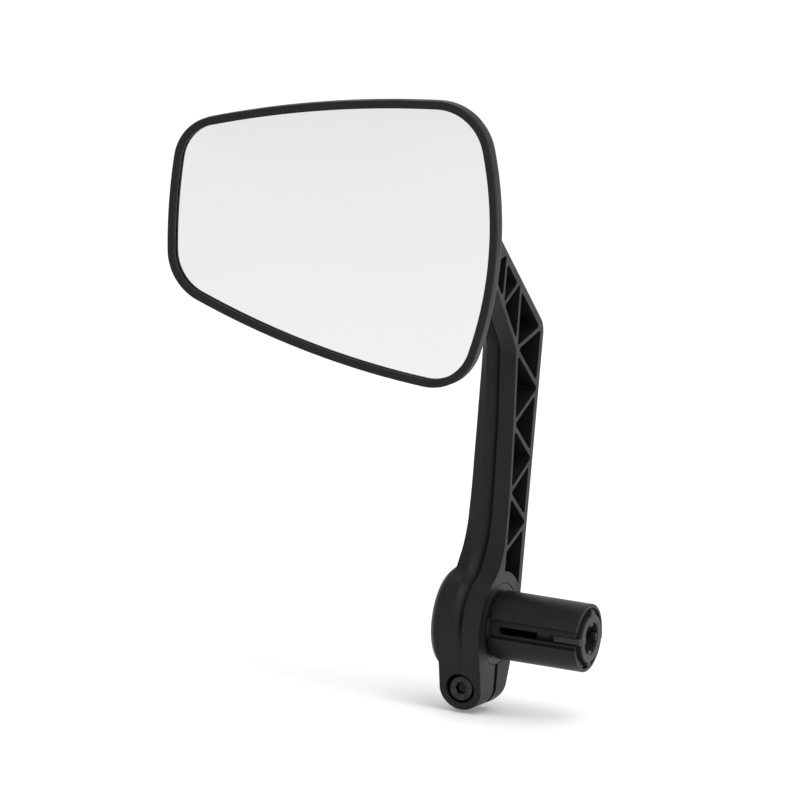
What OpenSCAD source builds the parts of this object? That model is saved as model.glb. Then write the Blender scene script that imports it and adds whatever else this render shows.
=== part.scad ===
/* [Handlebar plug] */
// Outer radius of the sleeve that grips inside the handlebar
sleeve_r = 9.5; // [8:0.1:10.5]
// Length of the sleeve along the handlebar
sleeve_len = 25.8; // [20:0.1:32]
// Wall of the sleeve
sleeve_wall = 1.1; // [0.8:0.1:1.4]
// Angle left open along the front of the C-shaped sleeve
sleeve_open_deg = 32; // [20:1:50]
// Gap between the collar face and the sleeve
sleeve_gap = 0.8; // [0.4:0.1:1.5]
// Width of the four slots that let the collet spread
collet_slot_w = 2.2; // [1.6:0.1:2.6]
// How far the cone stands out of the sleeve
cone_proud = 0.9; // [0.3:0.1:2]

/* [Hub and clamp ring] */
// Radius of the barrel that the arm turns on
barrel_r = 11.4; // [11:0.1:12.5]
// Outer radius of the clamp ring
ring_r = 14.3; // [14:0.1:15]
// Width of the clamp ring along the handlebar
ring_w = 12.3; // [11:0.1:13]
// Thickness of the flange at the outer end
flange_t = 2.5; // [2:0.1:4]
// Radial clearance of the ring on the barrel
ring_fit = 0.05; // [0.02:0.01:0.09]
// Width of the slot that lets the ring close
clamp_slot_w = 1.9; // [1:0.1:2.4]
// Depth of the clamp screw axis below the plug axis
clamp_screw_drop = 17.5; // [17.4:0.1:19]

/* [Arm] */
// Width of the arm along the handlebar
arm_w = 10.8; // [9.6:0.1:11.8]
// Width of the flat front band next to the open side
band_w = 4.4; // [3:0.1:5]
// How far the face beside the band is set back
band_step = 1; // [0.6:0.1:1.4]
// How far the outer edge of the front is set back
edge_step = 2.2; // [1.8:0.1:2.6]
// Thickness of the ribs
rib_t = 1.25; // [1:0.05:1.6]
// Thickness of the flange along the back
back_t = 2.1; // [1.6:0.1:2.6]
// Thickness of the flange along the front
front_t = 1.25; // [1:0.05:1.6]
// Thickness of the web that closes the outer side
web_t = 2; // [1.4:0.1:3]
// Extra thickness of the ribs in their deeper half
rib_draft = 0.12; // [0.05:0.01:0.3]

/* [Mirror head] */
// Front plane of the bezel
bezel_front_y = -42; // [-44:0.5:-42]
// Width of the lip around the mirror
lip_w = 2.3; // [1.6:0.1:3]
// Thickness of the lip
lip_t = 1; // [0.8:0.1:1.2]
// Depth of the bezel's side wall
bezel_depth = 3.3; // [3:0.1:4]
// Thickness of the mirror
glass_t = 2; // [1.5:0.1:2.2]
// Wall of the rear shell
shell_wall = 1.6; // [1.2:0.1:2]
// Height of the domed back above the bezel
dome_h = 7; // [5:0.1:7.5]

/* [Ball joint] */
// Radius of the ball on the arm
ball_r = 4.5; // [4.2:0.1:4.6]
// Thickness of the two liners around the ball
liner_t = 0.75; // [0.5:0.05:0.9]
// Gap between the two liners, which lets one tilt on the ball before the other
liner_gap = 1.7; // [1.6:0.1:2]
// Clearance of the ball and of the liners
ball_fit = 0.07; // [0.03:0.01:0.1]
// Radius of the neck behind the ball
neck_r = 2; // [1.8:0.1:2.1]

/* [Hidden] */
$fn = 64;
eps = 0.01;

// Colours
black_plastic = [0.07, 0.07, 0.075];
dark_plastic = [0.12, 0.12, 0.125];
black_steel = [0.16, 0.16, 0.17];
zinc_steel = [0.7, 0.71, 0.72];
white_acetal = [0.9, 0.9, 0.87];
mirror_silver = [0.85, 0.87, 0.88];
foam_grey = [0.35, 0.35, 0.36];

// Places along the plug axis, X
face_x = -sleeve_gap;
ring_x = face_x - ring_w;
flange_x = ring_x - 0.1;
outer_x = flange_x - flange_t;
flange_chamfer = 1.3;
cone_x = sleeve_len + cone_proud;
collet_end_x = sleeve_len - 0.5;
slot_end_x = 3.6;
collet_r = sleeve_r - sleeve_wall - 0.05;
taper_x = 18.5;
cone_small_r = 5.4;
cone_big_r = 6.75;
collet_bore_r = cone_small_r + 0.12;
taper_slope = (cone_big_r - cone_small_r) / (cone_x - taper_x);
nose_x = 12.5;
nose_end_x = 16.8;
key_w = collet_slot_w - 0.2;
key_r = 7.7;

// Expander fastener, M5
m5_r = 2.5;
m5_head_r = 4.25;
m5_head_h = 5;
m5_washer_t = 0.8;
m5_nut_af = 8;
m5_nut_t = 4;
counterbore_x = outer_x + 0.2 + m5_head_h + m5_washer_t;
nut_x = nose_x + 1;
expander_screw_end = nut_x + m5_nut_t + 1.5;

// Clamp fastener, M4
m4_r = 2;
m4_head_r = 3.5;
m4_head_h = 4;
m4_washer_t = 0.6;
m4_nut_af = 7;
m4_nut_t = 3.2;
ring_mid_x = ring_x + ring_w / 2;
screw_z = -clamp_screw_drop;
screw_head_y = -9.3;
head_seat_y = screw_head_y + m4_head_h;
pocket_y = head_seat_y + m4_washer_t;
nut_seat_y = 3.2;
tongue_round = ring_w / 2 + 0.05;
// Tongue side view as [y, z]
tongue_side = [[-13.6, -4], [-8, -24], [4.2, -24], [6.9, -20.7],
               [9.7, -11.9], [10, 0], [-12, 0]];

// Arm side view as [y, z]: front edge from the ring up to the end face, then the back edge
end_y = -23;
arm_x = face_x - arm_w;
arm_mid_x = face_x - arm_w / 2;
kink_front = [-3.2, 77.5];
kink_back = [15.1, 81.6];
front_slope = (97.3 - kink_front[1]) / (-20.8 - kink_front[0]);
back_slope = (110.7 - kink_back[1]) / (-20.1 - kink_back[0]);
function front_z(y) = kink_front[1] + front_slope * (y - kink_front[0]);
function back_z(y) = kink_back[1] + back_slope * (y - kink_back[0]);
front_end = [end_y, front_z(end_y)];
back_end = [end_y, back_z(end_y)];
front_path = [[-5.2, 13.2], [-3, 14.9], [-1.1, 17.4], [-0.4, 20.5], [-0.1, 36.5], [-1.2, 56],
              kink_front, front_end];
back_path = [back_end, kink_back, [13.1, 5.7]];

// Rib joints, lower straight stretch first; the fronts and backs alternate
lower_front = [[-0.4, 20.1], [-0.1, 36.6], [-1.2, 56], kink_front];
lower_back = [[13.65, 26.6], [14.12, 44.4], [14.63, 63.9], kink_back];
upper_front = [kink_front, [-15.3, front_z(-15.3)]];
upper_back = [kink_back, [-3.4, back_z(-3.4)], [-14.6, back_z(-14.6)]];
top_rib_z = 105.3;
end_wall_y = end_y + 1.8;
neck_foot_r = 3.4;
neck_foot_h = 1.2;

// Ball centre on the arm's end
ball_c = [arm_mid_x, end_y - 6.5, top_rib_z];
liner_in_r = ball_r + ball_fit;
liner_out_r = liner_in_r + liner_t;
socket_r = liner_out_r + ball_fit;
boss_r = 8.8;
cap_r = 7.4;
lip_hole_r = 4.4;
boss_back = 4;

// Mirror opening as [x, z]: sharp corners anticlockwise, bulge of each side, rounding of each corner
opening_corner = [[-87, 90], [-2.1, 73], [-3, 148.8], [-87.3, 131.5]];
opening_bulge = [3.8, 7.4, 3, 1.4];
opening_round = [12.5, 12, 13.5, 11.5];
head_mid = [-42, 111];
arc_steps = 10;
glass_front_y = bezel_front_y + lip_t;
glass_back_y = glass_front_y + glass_t;
bezel_back_y = bezel_front_y + bezel_depth;
tape_t = 0.6;
ledge_y = glass_back_y + tape_t;
// Dome sections as [share of the height, scale of the outline]
dome_steps = [[0, 1], [0.25, 0.99], [0.5, 0.965], [0.72, 0.915], [0.88, 0.83], [0.97, 0.68], [1, 0.5]];

// Socket stack behind the glass, from the ball forwards
cap_bottom_y = ball_c[1] - socket_r - 1;
washer_t = 0.5;
plate_back_y = cap_bottom_y - washer_t;
plate_t = 1;
pillar_pitch_r = 11.6;
pillar_r = 2.3;
pillar_deg = [90, 180, 270];
tap_screw_r = 1;
tap_head_r = 1.9;
tap_head_h = 0.9;
tap_screw_len = 3;

// ---- Geometry helpers ----
function unit(v) = v / norm(v);
function left_of(v) = [-v[1], v[0]];
function turn(c, r, a) = c + r * [cos(a), sin(a)];
function heading(v) = atan2(v[1], v[0]);
function wrap(a, base) = a < base ? a + 360 : (a - base > 360 ? a - 360 : a);

// Radius and centre of the arc that bulges a side by s between corners a and b
function side_radius(a, b, s) = (norm(b - a) * norm(b - a) / 4 + s * s) / (2 * s);
function side_centre(a, b, s) = (a + b) / 2 + left_of(unit(b - a)) * (side_radius(a, b, s) - s);
side_c = [for (i = [0:3]) side_centre(opening_corner[i], opening_corner[(i + 1) % 4], opening_bulge[i])];
side_r = [for (i = [0:3]) side_radius(opening_corner[i], opening_corner[(i + 1) % 4], opening_bulge[i])];

// Centre of the corner arc that runs into both neighbouring side arcs
function meet(c1, r1, c2, r2, near) =
    let (u = unit(c2 - c1), d = norm(c2 - c1), a = (r1 * r1 - r2 * r2 + d * d) / (2 * d),
         h = sqrt(r1 * r1 - a * a), p = c1 + a * u + h * left_of(u), q = c1 + a * u - h * left_of(u))
    norm(p - near) < norm(q - near) ? p : q;
corner_c = [for (i = [0:3]) let (j = (i + 3) % 4)
    meet(side_c[j], side_r[j] - opening_round[i],
         side_c[i], side_r[i] - opening_round[i], opening_corner[i])];

// The mirror opening's outline, moved outwards by grow
function head_outline(grow) = [for (i = [0:3])
    let (j = (i + 3) % 4, k = (i + 1) % 4,
         a0 = heading(corner_c[i] - side_c[j]), a1 = wrap(heading(corner_c[i] - side_c[i]), a0),
         a2 = wrap(heading(corner_c[k] - side_c[i]), a1))
    each concat(
        [for (t = [0:arc_steps])
            turn(corner_c[i], opening_round[i] + grow, a0 + (a1 - a0) * t / arc_steps)],
        [for (t = [1:arc_steps - 1])
            turn(side_c[i], side_r[i] + grow, a1 + (a2 - a1) * t / arc_steps)])];

// A closed convex outline moved inwards by its own distance on each edge
function cross2(a, b) = a[0] * b[1] - a[1] * b[0];
function edge_meet(p, u, q, v) = p + u * cross2(q - p, v) / cross2(u, v);
function inset(p, d) = let (n = len(p)) [for (i = [0:n - 1])
    let (h = (i + n - 1) % n, k = (i + 1) % n, u = unit(p[i] - p[h]), v = unit(p[k] - p[i]))
    edge_meet(p[i] + left_of(u) * d[h], u, p[i] + left_of(v) * d[i], v)];

// An open path moved to its right-hand side by d
function shifted(p, d) = let (n = len(p)) [for (i = [0:n - 1])
    let (u = unit(p[max(i, 1)] - p[max(i, 1) - 1]), v = unit(p[min(i + 1, n - 1)] - p[min(i, n - 2)]),
         m = unit(left_of(u) + left_of(v)))
    p[i] - m * d / (m * left_of(u))];

// Extrusions along the three axes, from one coordinate to another
module along_x(x0, x1) translate([x0, 0, 0]) rotate([90, 0, 90]) linear_extrude(x1 - x0) children();
module along_y(y0, y1) translate([0, y1, 0]) rotate([90, 0, 0]) linear_extrude(y1 - y0) children();
module rod_x(r, x0, x1) translate([x0, 0, 0]) rotate([0, 90, 0]) cylinder(r = r, h = x1 - x0);
module cone_rod_x(r0, r1, x0, x1) translate([x0, 0, 0]) rotate([0, 90, 0])
    cylinder(r1 = r0, r2 = r1, h = x1 - x0);
module rod_y(r, y0, y1) translate([0, y1, 0]) rotate([90, 0, 0]) cylinder(r = r, h = y1 - y0);
module hex(af) circle(r = af / 2 / cos(30), $fn = 6);

// ---- Arm ----
module arm_slab(x0, x1, setback) along_x(x0, x1)
    polygon(concat(shifted(front_path, setback), back_path, [[0, 0]]));

module pocket(points, insets, x0, x1) along_x(x0, x1) polygon(inset(points, insets));

// Pockets of the truss from x0 to x1; front_in is the wall left along the front, draft thickens the rest
module truss_pockets(front_in, draft, x0, x1) {
    rib = rib_t / 2 + draft;
    back = back_t + draft;
    for (i = [0:2]) {
        pocket([lower_front[i], lower_back[i], lower_front[i + 1]], [rib, rib, front_in], x0, x1);
        pocket([lower_front[i + 1], lower_back[i], lower_back[i + 1]], [rib, back, rib], x0, x1);
    }
    pocket([upper_front[0], upper_back[0], upper_back[1]], [rib, back, rib], x0, x1);
    pocket([upper_front[0], upper_back[1], upper_front[1]], [rib, rib, front_in], x0, x1);
    pocket([upper_front[1], upper_back[1], upper_back[2]], [rib, back, rib], x0, x1);
    pocket([upper_front[1], upper_back[2], [end_wall_y, top_rib_z], [end_wall_y, front_z(end_wall_y)]],
           [rib, rib, draft, front_in], x0, x1);
    pocket([[end_wall_y, top_rib_z], upper_back[2], [end_wall_y, back_z(end_wall_y)]],
           [rib, back, draft], x0, x1);
    along_x(x0, x1) difference() {
        polygon(inset([lower_front[0], [-0.4, 6], [13.1, 6], lower_back[0]], [front_in, 0, back, rib]));
        circle(r = ring_r + 0.2 + draft);
    }
}

module clamp_tongue() intersection() {
    along_x(ring_x, face_x)
        polygon(tongue_side);
    translate([ring_mid_x, 0, 0]) along_y(-20, 20) union() {
        translate([0, screw_z]) circle(r = tongue_round);
        translate([-tongue_round, screw_z]) square([2 * tongue_round, -screw_z]);
    }
}

module arm_solid() {
    arm_slab(face_x - band_w, face_x, 0);
    arm_slab(arm_x + web_t, face_x - band_w + eps, band_step);
    arm_slab(arm_x, arm_x + web_t + eps, edge_step);
    rod_x(ring_r, ring_x, face_x);
    clamp_tongue();
    translate([ball_c[0], 0, ball_c[2]]) rod_y(neck_r, ball_c[1], end_y + 1);
    translate([ball_c[0], end_y + eps, ball_c[2]]) rotate([90, 0, 0])
        cylinder(r1 = neck_foot_r, r2 = neck_r, h = neck_foot_h);
    translate(ball_c) sphere(r = ball_r);
}

module arm() color(black_plastic) difference() {
    arm_solid();
    rod_x(barrel_r + ring_fit, ring_x - 1, face_x + 1);
    translate([ring_x - 1, -clamp_slot_w / 2, -30]) cube([ring_w + 2, clamp_slot_w, 30]);
    truss_pockets(front_t, 0, face_x - band_w, face_x + 1);
    truss_pockets(front_t + band_step, rib_draft, arm_x + web_t, face_x - band_w + 0.5);
    translate([ring_mid_x, 0, screw_z]) {
        rod_y(m4_r + 0.25, -20, 20);
        rod_y(m4_head_r + 0.7, -20, pocket_y);
        along_y(nut_seat_y, 20) hex(m4_nut_af + 0.2);
    }
}

// ---- Clamp fastener ----
module clamp_screw() color(black_steel) translate([ring_mid_x, 0, screw_z]) difference() {
    union() {
        rod_y(m4_head_r, screw_head_y, head_seat_y);
        rod_y(m4_r, head_seat_y - 0.5, nut_seat_y + m4_nut_t + 0.8);
    }
    along_y(screw_head_y - 1, screw_head_y + 2.2) hex(3);
}

module clamp_washer() color(black_steel) translate([ring_mid_x, 0, screw_z]) difference() {
    rod_y(m4_head_r + 0.2, head_seat_y, pocket_y);
    rod_y(m4_r + 0.1, -20, 20);
}

module clamp_nut() color(black_steel) translate([ring_mid_x, 0, screw_z]) difference() {
    along_y(nut_seat_y, nut_seat_y + m4_nut_t) hex(m4_nut_af);
    rod_y(m4_r + 0.05, -20, 20);
}

// ---- Hub, sleeve and expander ----
module hub() color(black_plastic) difference() {
    union() {
        rod_x(barrel_r, flange_x - eps, face_x);
        cone_rod_x(ring_r - flange_chamfer, ring_r, outer_x, outer_x + flange_chamfer);
        rod_x(ring_r, outer_x + flange_chamfer - eps, flange_x);
        rod_x(collet_r, face_x - eps, collet_end_x);
    }
    rod_x(m5_head_r + 0.35, outer_x - 1, counterbore_x);
    rod_x(m5_r + 0.25, outer_x, 5);
    rod_x(collet_bore_r, 0.5, collet_end_x + 1);
    cone_rod_x(collet_bore_r, collet_bore_r + (collet_end_x + 1 - taper_x) * taper_slope,
               taper_x, collet_end_x + 1);
    for (a = [0:90:270]) rotate([a, 0, 0]) {
        translate([slot_end_x, -collet_slot_w / 2, 3]) cube([sleeve_len, collet_slot_w, sleeve_r]);
        translate([slot_end_x, 0, 3]) cylinder(r = collet_slot_w / 2, h = sleeve_r);
    }
}

module adapter_sleeve() color(black_plastic) difference() {
    rod_x(sleeve_r, 0, sleeve_len);
    rod_x(sleeve_r - sleeve_wall, -1, sleeve_len + 1);
    reach = 2 * sleeve_r;
    half = sleeve_open_deg / 2;
    along_x(-1, sleeve_len + 1)
        polygon([[0, 0], [-reach, -reach * tan(half - 2)], [-reach, reach * tan(half + 2)]]);
}

module expander_cone() color(dark_plastic) difference() {
    union() {
        rod_x(cone_small_r - 0.1, nose_x, nose_end_x);
        rod_x(cone_small_r - 0.5, nose_end_x - eps, taper_x + eps);
        cone_rod_x(cone_small_r, cone_big_r, taper_x, cone_x);
        for (a = [0:90:270]) rotate([a, 0, 0])
            translate([taper_x, -key_w / 2, 3]) cube([cone_x - taper_x, key_w, key_r - 3]);
    }
    rod_x(m5_r + 0.25, nose_x - 1, nut_x + 1);
    along_x(nut_x, nut_x + m5_nut_t + 0.2) hex(m5_nut_af + 0.1);
    rod_x(4.6, nut_x + m5_nut_t + 0.19, cone_x - 1.5);
    difference() {
        rod_x(4.5, cone_x - 1.5 - eps, cone_x + 1);
        for (a = [0:90:270]) rotate([a, 0, 0]) translate([cone_x - 2, -1, 3.4]) cube([3, 2, 4]);
    }
}

module expander_nut() color(zinc_steel) difference() {
    along_x(nut_x, nut_x + m5_nut_t) hex(m5_nut_af);
    rod_x(m5_r + 0.05, nut_x - 1, nut_x + m5_nut_t + 1);
}

module expander_screw() color(black_steel) difference() {
    union() {
        rod_x(m5_head_r, counterbore_x - m5_washer_t - m5_head_h, counterbore_x - m5_washer_t);
        rod_x(m5_r, counterbore_x - m5_washer_t - 0.5, expander_screw_end);
    }
    along_x(outer_x - 1, counterbore_x - m5_washer_t - m5_head_h + 2.6) hex(4);
}

module expander_washer() color(zinc_steel) difference() {
    rod_x(m5_head_r, counterbore_x - m5_washer_t, counterbore_x);
    rod_x(m5_r + 0.1, counterbore_x - 2, counterbore_x + 1);
}

// ---- Mirror head ----
module head_plate(grow, y0, y1) along_y(y0, y1) polygon(head_outline(grow));

// Solid dome behind the bezel; less is taken off its height and its outline
module dome(less) hull() for (s = dome_steps)
    translate([head_mid[0], bezel_back_y + s[0] * (dome_h - less), head_mid[1]]) scale(s[1])
        translate([-head_mid[0], 0, -head_mid[1]]) head_plate(lip_w - 0.15 - less, 0, 0.05);

module at_ball() translate([ball_c[0], 0, ball_c[2]]) children();
module at_pillars() at_ball() for (a = pillar_deg)
    rotate([0, -a, 0]) translate([pillar_pitch_r, 0, 0]) children();

module head_shell() color(black_plastic) difference() {
    union() {
        difference() {
            union() {
                dome(0);
                head_plate(lip_w - 1.35, glass_back_y + 0.02, bezel_back_y + eps);
            }
            translate([0, -eps, 0]) dome(shell_wall);
            head_plate(-5, glass_back_y - 1, bezel_back_y + 0.1);
            head_plate(-0.5, glass_back_y - 1, ledge_y);
        }
        at_ball() rod_y(boss_r, plate_back_y, ball_c[1] + 1);
        at_ball() translate([0, ball_c[1] + 1 - eps, 0]) rotate([-90, 0, 0])
            cylinder(r1 = boss_r, r2 = 5.7, h = boss_back - 1);
        at_pillars() rod_y(pillar_r, plate_back_y, plate_back_y + tap_screw_len + 1);
    }
    at_ball() rod_y(cap_r + 0.1, plate_back_y - 1, ball_c[1]);
    translate(ball_c) sphere(r = socket_r);
    at_ball() rod_y(lip_hole_r, ball_c[1], ball_c[1] + 10);
    at_pillars() rod_y(tap_screw_r + 0.05, plate_back_y - 1, plate_back_y + tap_screw_len + 0.3);
}

module bezel() color(black_plastic) difference() {
    head_plate(lip_w, bezel_front_y, bezel_back_y - 0.05);
    head_plate(0, bezel_front_y - 1, glass_front_y + eps);
    head_plate(lip_w - 1.1, glass_front_y, bezel_back_y + 1);
}

module mirror_glass() color(mirror_silver) head_plate(1, glass_front_y, glass_back_y);

module glass_tape() color(foam_grey) difference() {
    head_plate(-0.7, glass_back_y, ledge_y);
    head_plate(-4.5, glass_back_y - 1, ledge_y + 1);
}

// Half of the two-piece liner: a spherical zone between two depths from the ball centre
module liner(y0, y1) color(white_acetal) translate(ball_c) intersection() {
    difference() {
        sphere(r = liner_out_r);
        sphere(r = liner_in_r);
    }
    rod_y(liner_out_r + 1, y0, y1);
}

module ball_liner_rear() liner(liner_gap / 2, 3);
module ball_liner_front() liner(-liner_out_r - 1, -liner_gap / 2);

module socket_cap() color(dark_plastic) difference() {
    at_ball() rod_y(cap_r, cap_bottom_y, ball_c[1] - 0.3);
    translate(ball_c) sphere(r = socket_r);
}

module wave_washer() color(zinc_steel) at_ball() difference() {
    rod_y(6.8, plate_back_y, cap_bottom_y);
    rod_y(4.8, plate_back_y - 1, cap_bottom_y + 1);
}

module socket_plate() color(zinc_steel) difference() {
    union() {
        at_ball() rod_y(boss_r - 0.2, plate_back_y - plate_t, plate_back_y);
        at_ball() for (a = pillar_deg) rotate([0, -a, 0])
            translate([0, plate_back_y - plate_t, -2.4]) cube([pillar_pitch_r, plate_t, 4.8]);
        at_pillars() rod_y(2.4, plate_back_y - plate_t, plate_back_y);
    }
    at_ball() rod_y(4, plate_back_y - 5, plate_back_y + 1);
    at_pillars() rod_y(tap_screw_r + 0.15, plate_back_y - 5, plate_back_y + 1);
}

module socket_screws() color(zinc_steel) at_pillars() difference() {
    union() {
        rod_y(tap_head_r, plate_back_y - plate_t - tap_head_h, plate_back_y - plate_t);
        rod_y(tap_screw_r, plate_back_y - plate_t - 0.2, plate_back_y + tap_screw_len);
    }
    slot_y = plate_back_y - plate_t - tap_head_h;
    translate([-1.1, slot_y - 1, -0.25]) cube([2.2, 1.5, 0.5]);
    translate([-0.25, slot_y - 1, -1.1]) cube([0.5, 1.5, 2.2]);
}

arm();
clamp_screw();
clamp_washer();
clamp_nut();
hub();
adapter_sleeve();
expander_cone();
expander_nut();
expander_screw();
expander_washer();
head_shell();
bezel();
mirror_glass();
glass_tape();
ball_liner_rear();
ball_liner_front();
socket_cap();
wave_washer();
socket_plate();
socket_screws();
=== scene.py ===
# %% [markdown]
# # Bar-end bicycle mirror
# This lesson rebuilds a bicycle mirror around a frame that is already designed: every part, joint and
# size exists as a plain engineering model. Here each part gets the shape and the finish that the eye
# expects of it. Work is done in millimetres, because a maker thinks in them, and each piece is scaled
# to metres once, when it is finished.

# %% Load the frame
import math

import bmesh
import bpy
from mathutils import Matrix, Vector


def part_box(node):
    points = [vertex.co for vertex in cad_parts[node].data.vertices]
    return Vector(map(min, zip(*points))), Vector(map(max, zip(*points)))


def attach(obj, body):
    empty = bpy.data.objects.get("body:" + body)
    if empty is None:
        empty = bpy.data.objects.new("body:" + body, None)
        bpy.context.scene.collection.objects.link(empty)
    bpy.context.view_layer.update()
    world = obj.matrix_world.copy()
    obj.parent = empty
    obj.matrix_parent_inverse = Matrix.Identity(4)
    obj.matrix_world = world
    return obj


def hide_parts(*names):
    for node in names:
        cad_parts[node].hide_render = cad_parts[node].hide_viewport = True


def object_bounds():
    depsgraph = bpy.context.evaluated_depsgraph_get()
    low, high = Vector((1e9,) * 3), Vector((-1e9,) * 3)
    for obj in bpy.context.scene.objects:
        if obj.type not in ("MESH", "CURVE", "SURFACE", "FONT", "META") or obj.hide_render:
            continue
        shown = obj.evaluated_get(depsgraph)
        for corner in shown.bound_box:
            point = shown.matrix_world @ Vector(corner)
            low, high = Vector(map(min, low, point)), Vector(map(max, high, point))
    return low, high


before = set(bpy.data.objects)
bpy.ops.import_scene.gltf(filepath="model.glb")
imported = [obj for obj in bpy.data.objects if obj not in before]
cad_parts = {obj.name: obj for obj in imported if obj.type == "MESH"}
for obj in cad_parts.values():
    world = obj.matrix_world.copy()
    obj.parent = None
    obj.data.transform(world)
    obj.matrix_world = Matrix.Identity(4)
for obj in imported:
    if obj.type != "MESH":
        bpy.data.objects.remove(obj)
CAD_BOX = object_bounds()
MM = 0.001


# %% [markdown]
# ## Measures taken from the frame
# Places are never typed in twice. The box of each engineering part says where it sits, so a change in
# the design moves the visual piece with it.

# %% Read the places of the parts
def box_mm(node):
    low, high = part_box(node)
    return Vector(low) / MM, Vector(high) / MM


arm_low, arm_high = box_mm("arm")
hub_low, hub_high = box_mm("hub")
sleeve_high = box_mm("adapter_sleeve")[1]
cone_high = box_mm("expander_cone")[1]
screw_low, screw_high = box_mm("clamp_screw")
liner_low, liner_high = box_mm("ball_liner_rear")
bezel_low, bezel_high = box_mm("bezel")

FACE_X = arm_high.x
RING_X = arm_low.x
OUTER_X = hub_low.x
RING_R = hub_high.y
SLEEVE_R = sleeve_high.y
SLEEVE_END = sleeve_high.x
CONE_END = cone_high.x
SCREW_X = (screw_low.x + screw_high.x) / 2
SCREW_Z = (screw_low.z + screw_high.z) / 2
BALL = Vector(((liner_low.x + liner_high.x) / 2, liner_low.y - 0.85, (liner_low.z + liner_high.z) / 2))
GLASS_FRONT = bezel_low.y + 1.0
print("ball centre in mm:", [round(v, 2) for v in BALL])


# %% [markdown]
# ## Drawing aids
# Moulded and turned parts never have knife edges, so most outlines here are polygons with a rounding
# at every corner. One function turns such corners into arcs, and the lathe, the extrusion and the
# loft all take their outlines from it.

# %% Rounded outlines
def cosd(degrees):
    return math.cos(math.radians(degrees))


def sind(degrees):
    return math.sin(math.radians(degrees))


def filleted(corners, closed=True, step_deg=12):
    """Corners as (a, b, radius); returns points with each corner replaced by an arc."""
    points = []
    count = len(corners)
    for i, (a, b, radius) in enumerate(corners):
        here = Vector((a, b))
        if radius <= 0 or (not closed and i in (0, count - 1)):
            points.append(here)
            continue
        before = Vector(corners[i - 1][:2])
        after = Vector(corners[(i + 1) % count][:2])
        u, v = (before - here).normalized(), (after - here).normalized()
        half = math.acos(max(-1.0, min(1.0, u.dot(v)))) / 2
        reach = min(radius / math.tan(half), 0.49 * (before - here).length, 0.49 * (after - here).length)
        true_radius = reach * math.tan(half)
        centre = here + (u + v).normalized() * (true_radius / math.sin(half))
        start, end = here + u * reach - centre, here + v * reach - centre
        sweep = math.atan2(start.x * end.y - start.y * end.x, start.dot(end))
        steps = max(2, math.ceil(abs(math.degrees(sweep)) / step_deg))
        for k in range(steps + 1):
            turn = Matrix.Rotation(sweep * k / steps, 2)
            points.append(centre + turn @ start)
    return points


def arc(centre, radius, start_deg, end_deg, steps):
    """Points of an arc, both ends included."""
    spread = [start_deg + (end_deg - start_deg) * k / steps for k in range(steps + 1)]
    return [Vector((centre[0] + radius * cosd(d), centre[1] + radius * sind(d)))
            for d in spread]


# %% Solids from outlines
PLANES = {"x": lambda p, t: Vector((t, p[0], p[1])),
          "y": lambda p, t: Vector((p[0], t, p[1])),
          "z": lambda p, t: Vector((p[0], p[1], t))}


def loop_of(bm, points):
    """A closed loop of edges through the points."""
    verts = [bm.verts.new(p) for p in points]
    return [bm.edges.new((verts[i - 1], verts[i])) for i in range(len(verts))]


def loft(bm, loops, capped=True, ring=False):
    """Joins each loop to the next; caps both ends, or closes the row of loops into a ring."""
    edges = [loop_of(bm, points) for points in loops]
    pairs = list(zip(edges, edges[1:])) + ([(edges[-1], edges[0])] if ring else [])
    for one, two in pairs:
        bmesh.ops.bridge_loops(bm, edges=one + two)
    if capped and not ring:
        bmesh.ops.contextual_create(bm, geom=edges[0])
        bmesh.ops.contextual_create(bm, geom=edges[-1])
    return edges


def prism(axis, outline, t0, t1):
    """A straight extrusion of an outline along one axis."""
    bm = bmesh.new()
    loft(bm, [[PLANES[axis](p, t) for p in outline] for t in (t0, t1)])
    return solid(bm)


def lathe(axis, profile, centre=(0, 0, 0), steps=96, sweep=2 * math.pi, closed=False):
    """Spins a profile of (along the axis, radius) points round an axis through centre."""
    bm = bmesh.new()
    along = {"x": Vector((1, 0, 0)), "y": Vector((0, 1, 0)), "z": Vector((0, 0, 1))}[axis]
    out = {"x": Vector((0, 0, 1)), "y": Vector((0, 0, 1)), "z": Vector((1, 0, 0))}[axis]
    verts = [bm.verts.new(Vector(centre) + along * a + out * max(r, 0.0)) for a, r in profile]
    pairs = list(zip(verts, verts[1:])) + ([(verts[-1], verts[0])] if closed else [])
    edges = [bm.edges.new(pair) for pair in pairs]
    full = abs(sweep - 2 * math.pi) < 1e-6
    bmesh.ops.spin(bm, geom=verts + edges, cent=centre, axis=along, dvec=(0, 0, 0),
                   angle=sweep, steps=steps, use_merge=full, use_duplicate=False)
    if not full:
        bmesh.ops.holes_fill(bm, edges=bm.edges, sides=0)
    return solid(bm)


def solid(bm):
    """Merges doubles and turns every face outwards."""
    bmesh.ops.remove_doubles(bm, verts=bm.verts, dist=1e-4)
    bmesh.ops.dissolve_degenerate(bm, edges=bm.edges, dist=1e-5)
    bmesh.ops.recalc_face_normals(bm, faces=bm.faces)
    return bm


# %% [markdown]
# ## Cutting and joining
# A boolean does in one step what milling or a mould core does to the real part: it takes a second
# solid away from the first, or adds it. Each is applied at once, so the piece that is kept is a plain
# mesh. A narrow bevel afterwards breaks the sharp edges, which is what catches the light.

# %% Booleans, bevels and the finished piece
def temp_object(bm, name):
    mesh = bpy.data.meshes.new(name)
    bm.to_mesh(mesh)
    bm.free()
    obj = bpy.data.objects.new(name, mesh)
    bpy.context.scene.collection.objects.link(obj)
    return obj


def applied(obj):
    """The object's mesh with its modifiers applied, as a new bmesh; the object is removed."""
    bpy.context.view_layer.update()
    baked = obj.evaluated_get(bpy.context.evaluated_depsgraph_get())
    bm = bmesh.new()
    bm.from_mesh(baked.to_mesh())
    bpy.data.objects.remove(obj)
    return bm


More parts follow.
